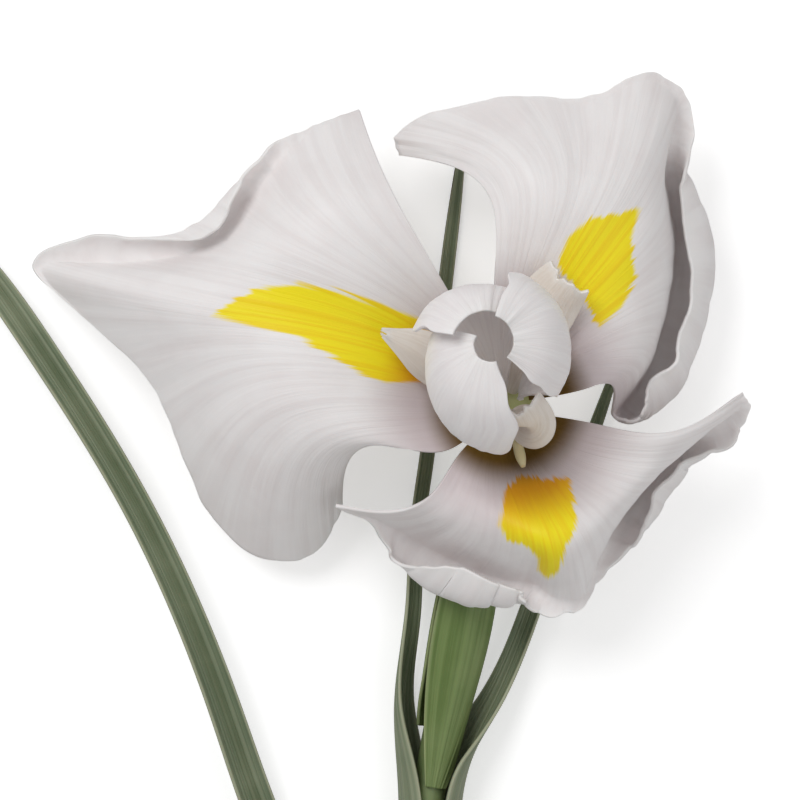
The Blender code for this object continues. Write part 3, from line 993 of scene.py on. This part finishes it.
def leaves() -> list[Leaf]:
    """The three leaves."""
    return [
        Leaf("leaf_left", [
            (-13.0, -146.0, STEM_HEIGHT, SHEATH_RADIUS, 230, 0),
            (-13.2, -132.0, 5.8, SHEATH_RADIUS, 225, 5),
            (-16.5, -115.0, 7.5, 5.0, 140, 15),
            (-27.0, -90.5, 10.6, 5.0, 90, 45),
            (-38.7, -64.5, 11.3, 5.0, 74, 60),
            (-44.3, -48.0, 12.8, 5.0, 70, 60),
            (-58.9, -15.6, 12.4, 5.0, 62, 65),
            (-74.5, 9.5, 10.8, 5.0, 62, 65),
            (-87.0, 25.2, 8.4, 5.0, 48, 75),
            (-104.0, 40.0, 4.6, 4.0, 5, 85)], 41),
        Leaf("leaf_back", [
            (-13.0, -104.0, STEM_HEIGHT, SHEATH_RADIUS, 190, 10),
            (-13.0, -82.0, STEM_HEIGHT, SHEATH_RADIUS, 200, 10),
            (-12.8, -63.0, 5.7, SHEATH_RADIUS, 170, 10),
            (-12.4, -50.0, 5.9, 5.4, 96, 15),
            (-12.6, -34.0, 6.6, 3.5, 62, 40),
            (-13.0, -22.0, 5.4, 3.0, 50, 60),
            (-12.4, -11.0, 4.3, 3.0, 46, 80),
            (-9.3, 21.0, 4.0, 3.0, 44, 88),
            (-7.8, 34.0, 3.8, 2.8, 36, 90),
            (-6.4, 46.0, 3.4, 2.5, 8, 90)], 42, 0.2),
        Leaf("leaf_right", [
            (-13.0, -100.0, STEM_HEIGHT, OUTER_SHEATH_RADIUS, 150, 150),
            (-13.0, -80.0, STEM_HEIGHT, OUTER_SHEATH_RADIUS, 170, 150),
            (-12.6, -66.0, 5.9, OUTER_SHEATH_RADIUS, 165, 155),
            (-10.8, -56.0, 6.4, 5.9, 120, 158),
            (-5.4, -48.0, 7.0, 5.0, 78, 145),
            (3.3, -33.5, 6.5, 3.8, 55, 112),
            (10.3, -16.3, 5.1, 3.6, 42, 95),
            (16.2, -1.0, 4.6, 3.4, 30, 92),
            (20.5, 11.0, 3.9, 3.0, 6, 90)], 43, 0.3),
    ]


def spathes() -> list[Leaf]:
    """The two bracts."""
    return [
        Leaf("spathe_outer", [
            (-12.4, -63.0, 5.7, 3.5, 60, 250),
            (-10.4, -52.0, 5.8, 4.1, 140, 240),
            (-7.4, -37.0, 6.3, 5.1, 165, 240),
            (-5.0, -25.0, 7.6, 4.7, 160, 245),
            (-2.8, -14.0, 9.6, 4.4, 115, 255),
            (-1.9, -8.0, 11.4, 4.2, 12, 260)], 51, 0.0, rows=220),
        Leaf("spathe_inner", [
            (-10.9, -54.0, 5.8, 3.7, 80, 65),
            (-9.3, -46.0, 5.9, 4.0, 150, 65),
            (-7.6, -36.5, 6.3, 4.2, 165, 65),
            (-5.4, -25.0, 7.4, 3.8, 165, 65),
            (-3.2, -16.0, 9.0, 3.5, 110, 70),
            (-2.2, -11.0, 9.8, 3.4, 12, 75)], 52, 0.0, rows=220),
    ]


def rods() -> dict[Finish, list[Rod]]:
    """Stem, ovary, tube and stamens, by their finish."""
    stamens = []
    for name, azimuth in (("stamen_left", 160.0), ("stamen_right", 52.0), ("stamen_lower", -76.0)):
        x, y = math.cos(math.radians(azimuth)), math.sin(math.radians(azimuth))
        path = [(3.6 * x, 3.6 * y, 21.2), (6.6 * x, 6.6 * y, 24.0), (10.6 * x, 10.6 * y, 26.6)]
        stamens.append(Rod(name, path, [0.4, 0.4, 0.45, 0.75, 0.85, 0.8, 0.4], 24, 60))
    return {
        Finish.STEM: [Rod("stem", [(-13.0, -150.0, STEM_HEIGHT), (-13.0, -100.0, STEM_HEIGHT),
                                   (-12.6, -66.0, STEM_HEIGHT), (-10.0, -50.0, 5.8),
                                   (-7.7, -36.0, 6.2)], [2.9, 2.9, 2.9, 2.7, 2.4], dent=0.3)],
        Finish.OVARY: [Rod("ovary", [(-7.6, -35.6, 6.2), (-6.2, -28.0, 6.9), (-4.8, -21.5, 8.2)],
                           [2.4, 3.0, 2.9, 2.0])],
        Finish.TUBE: [Rod("perianth_tube", [(-4.6, -20.9, 8.3), (-2.6, -12.0, 9.8),
                                            (-0.8, -4.0, 12.2), (-0.1, -0.8, 15.0),
                                            (0.0, 0.0, THROAT_HEIGHT)],
                          [1.9, 1.9, 1.9, 2.0, 2.3, 4.2])],
        Finish.STAMEN: stamens,
    }


@dataclass(frozen=True)
class Studio:
    """White surface, soft daylight and the camera that looks straight down."""

    floor: float = -0.0002
    floor_lift: float = 0.42
    camera_place: Point = (0.0152, 0.04883, 0.700)
    sensor: float = 36.0
    lens: float = 36.0 * 670.0 / 127.0

    def build(self) -> None:
        """Adds floor, lights, world and camera."""
        self.add_floor()
        self.add_light("key", (-0.35, 0.45, 0.75), 0.5, 3.6)
        self.add_light("fill", (0.55, -0.2, 0.7), 0.7, 1.2)
        self.add_world()
        self.add_camera()

    def add_floor(self) -> None:
        """A wide white floor that still takes the flower's shadow."""
        bpy.ops.object.select_all(action="DESELECT")
        bpy.ops.mesh.primitive_plane_add(size=6.0, location=(0.0, 0.0, self.floor))
        floor = bpy.context.object
        floor.name = "floor"
        g = Graph("floor_white")
        plain = g.finish((0.8, 0.8, 0.8, 1.0), 0.9, None, {"Specular IOR Level": 0.0})
        seen = g.node("ShaderNodeBsdfPrincipled", {}, {
            "Base Color": (0.9, 0.9, 0.9, 1.0), "Roughness": 1.0, "Specular IOR Level": 0.0,
            "Emission Color": (1.0, 1.0, 1.0, 1.0), "Emission Strength": self.floor_lift})
        rays = g.node("ShaderNodeLightPath")
        either = g.node("ShaderNodeMixShader")
        output = g.tree.nodes["Material Output"]
        g.tree.links.new(rays.outputs["Is Camera Ray"], either.inputs[0])
        g.tree.links.new(g.shader.outputs[0], either.inputs[1])
        g.tree.links.new(seen.outputs[0], either.inputs[2])
        g.tree.links.new(either.outputs[0], output.inputs["Surface"])
        floor.data.materials.append(plain)

    def add_light(self, name: str, place: Point, size: float, power: float) -> None:
        """An area light aimed at the flower.

        Args:
            name: Name of the light.
            place: Where it stands, in metres.
            size: Its size in metres.
            power: Its power in watts.
        """
        lamp = bpy.data.lights.new(name, "AREA")
        lamp.shape = "DISK"
        lamp.size = size
        lamp.energy = power
        holder = bpy.data.objects.new(name, lamp)
        holder.location = place
        aim = Vector((0.02, 0.04, 0.02)) - Vector(place)
        holder.rotation_euler = aim.to_track_quat("-Z", "Y").to_euler()
        bpy.context.scene.collection.objects.link(holder)

    def add_world(self) -> None:
        """Even white light from all around."""
        world = bpy.data.worlds.new("daylight")
        bpy.context.scene.world = world
        world.use_nodes = True
        world.node_tree.nodes["Background"].inputs["Color"].default_value = (1, 1, 1, 1)
        world.node_tree.nodes["Background"].inputs["Strength"].default_value = 0.42

    def add_camera(self) -> None:
        """The camera straight above the flower."""
        lens = bpy.data.cameras.new("camera")
        lens.sensor_width = self.sensor
        lens.lens = self.lens
        lens.clip_start = 0.01
        holder = bpy.data.objects.new("camera", lens)
        holder.location = self.camera_place
        bpy.context.scene.collection.objects.link(holder)
        bpy.context.scene.camera = holder
        bpy.context.scene.view_settings.view_transform = "Standard"


def finishes() -> dict[Finish, bpy.types.Material]:
    """The material of each slot."""
    petal = PetalFinish("fall_petal").make()
    bud = PetalFinish("standard_petal", (0.92, 0.885, 0.88), (0.82, 0.765, 0.77), veins=22.0,
                      signal=False).make()
    # The style arms' colours are partly their own warm tone and partly painted shade from the bud
    # over them and painted yellow bounce light from the falls.
    style = PetalFinish("style_petal_and_shade", (0.86, 0.80, 0.74), (0.74, 0.66, 0.58), veins=14.0,
                        signal=False).make()
    # The fourth colour of each green finish is the painted shade in the channel's bottom.
    leaf = GreenFinish("leaf_green", (0.115, 0.155, 0.085), (0.235, 0.27, 0.175),
                       (0.42, 0.44, 0.30), (0.06, 0.085, 0.022))
    spathe = GreenFinish("spathe_green", (0.10, 0.16, 0.035), (0.17, 0.24, 0.075),
                         (0.36, 0.42, 0.20), (0.08, 0.12, 0.03), 14.0)
    return {
        Finish.FALL: petal,
        Finish.STANDARD: bud,
        Finish.STYLE: style,
        Finish.LEAF: leaf.make(),
        Finish.SPATHE: spathe.make(),
        Finish.STEM: RoundFinish("stem_green", (0.14, 0.20, 0.07), (0.24, 0.30, 0.13)).make(),
        Finish.OVARY: RoundFinish("ovary_green", (0.13, 0.22, 0.05), (0.22, 0.32, 0.10)).make(),
        Finish.TUBE: RoundFinish("tube_green", (0.42, 0.46, 0.16), (0.62, 0.62, 0.34)).make(),
        Finish.STAMEN: RoundFinish("stamen_cream", (0.80, 0.74, 0.48), (0.70, 0.58, 0.28)).make(),
    }


def place_piece(piece: bpy.types.Object, node: str) -> None:
    """Lets a finished piece ride the flower in place of its CAD node.

    Args:
        piece: The finished piece.
        node: The CAD node that it stands for.
    """
    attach(piece, "root")
    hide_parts(node)
    log.info("%s: %d faces", piece.name, len(piece.data.polygons))


def main() -> None:
    """Builds the flower and its studio and reports each piece."""
    made = finishes()
    shapes: list[tuple[Finish, Any]] = [(Finish.FALL, s) for s in falls()]
    shapes += [(Finish.STANDARD, s) for s in standards()]
    shapes += [(Finish.STYLE, s) for s in style_arms()]
    shapes += [(Finish.LEAF, s) for s in leaves()]
    shapes += [(Finish.SPATHE, s) for s in spathes()]
    for finish, group in rods().items():
        shapes += [(finish, s) for s in group]
    for finish, shape in shapes:
        piece = shape.build(made[finish])
        place_piece(piece, shape.name)
    Studio().build()


if __name__ == "__main__":
    main()
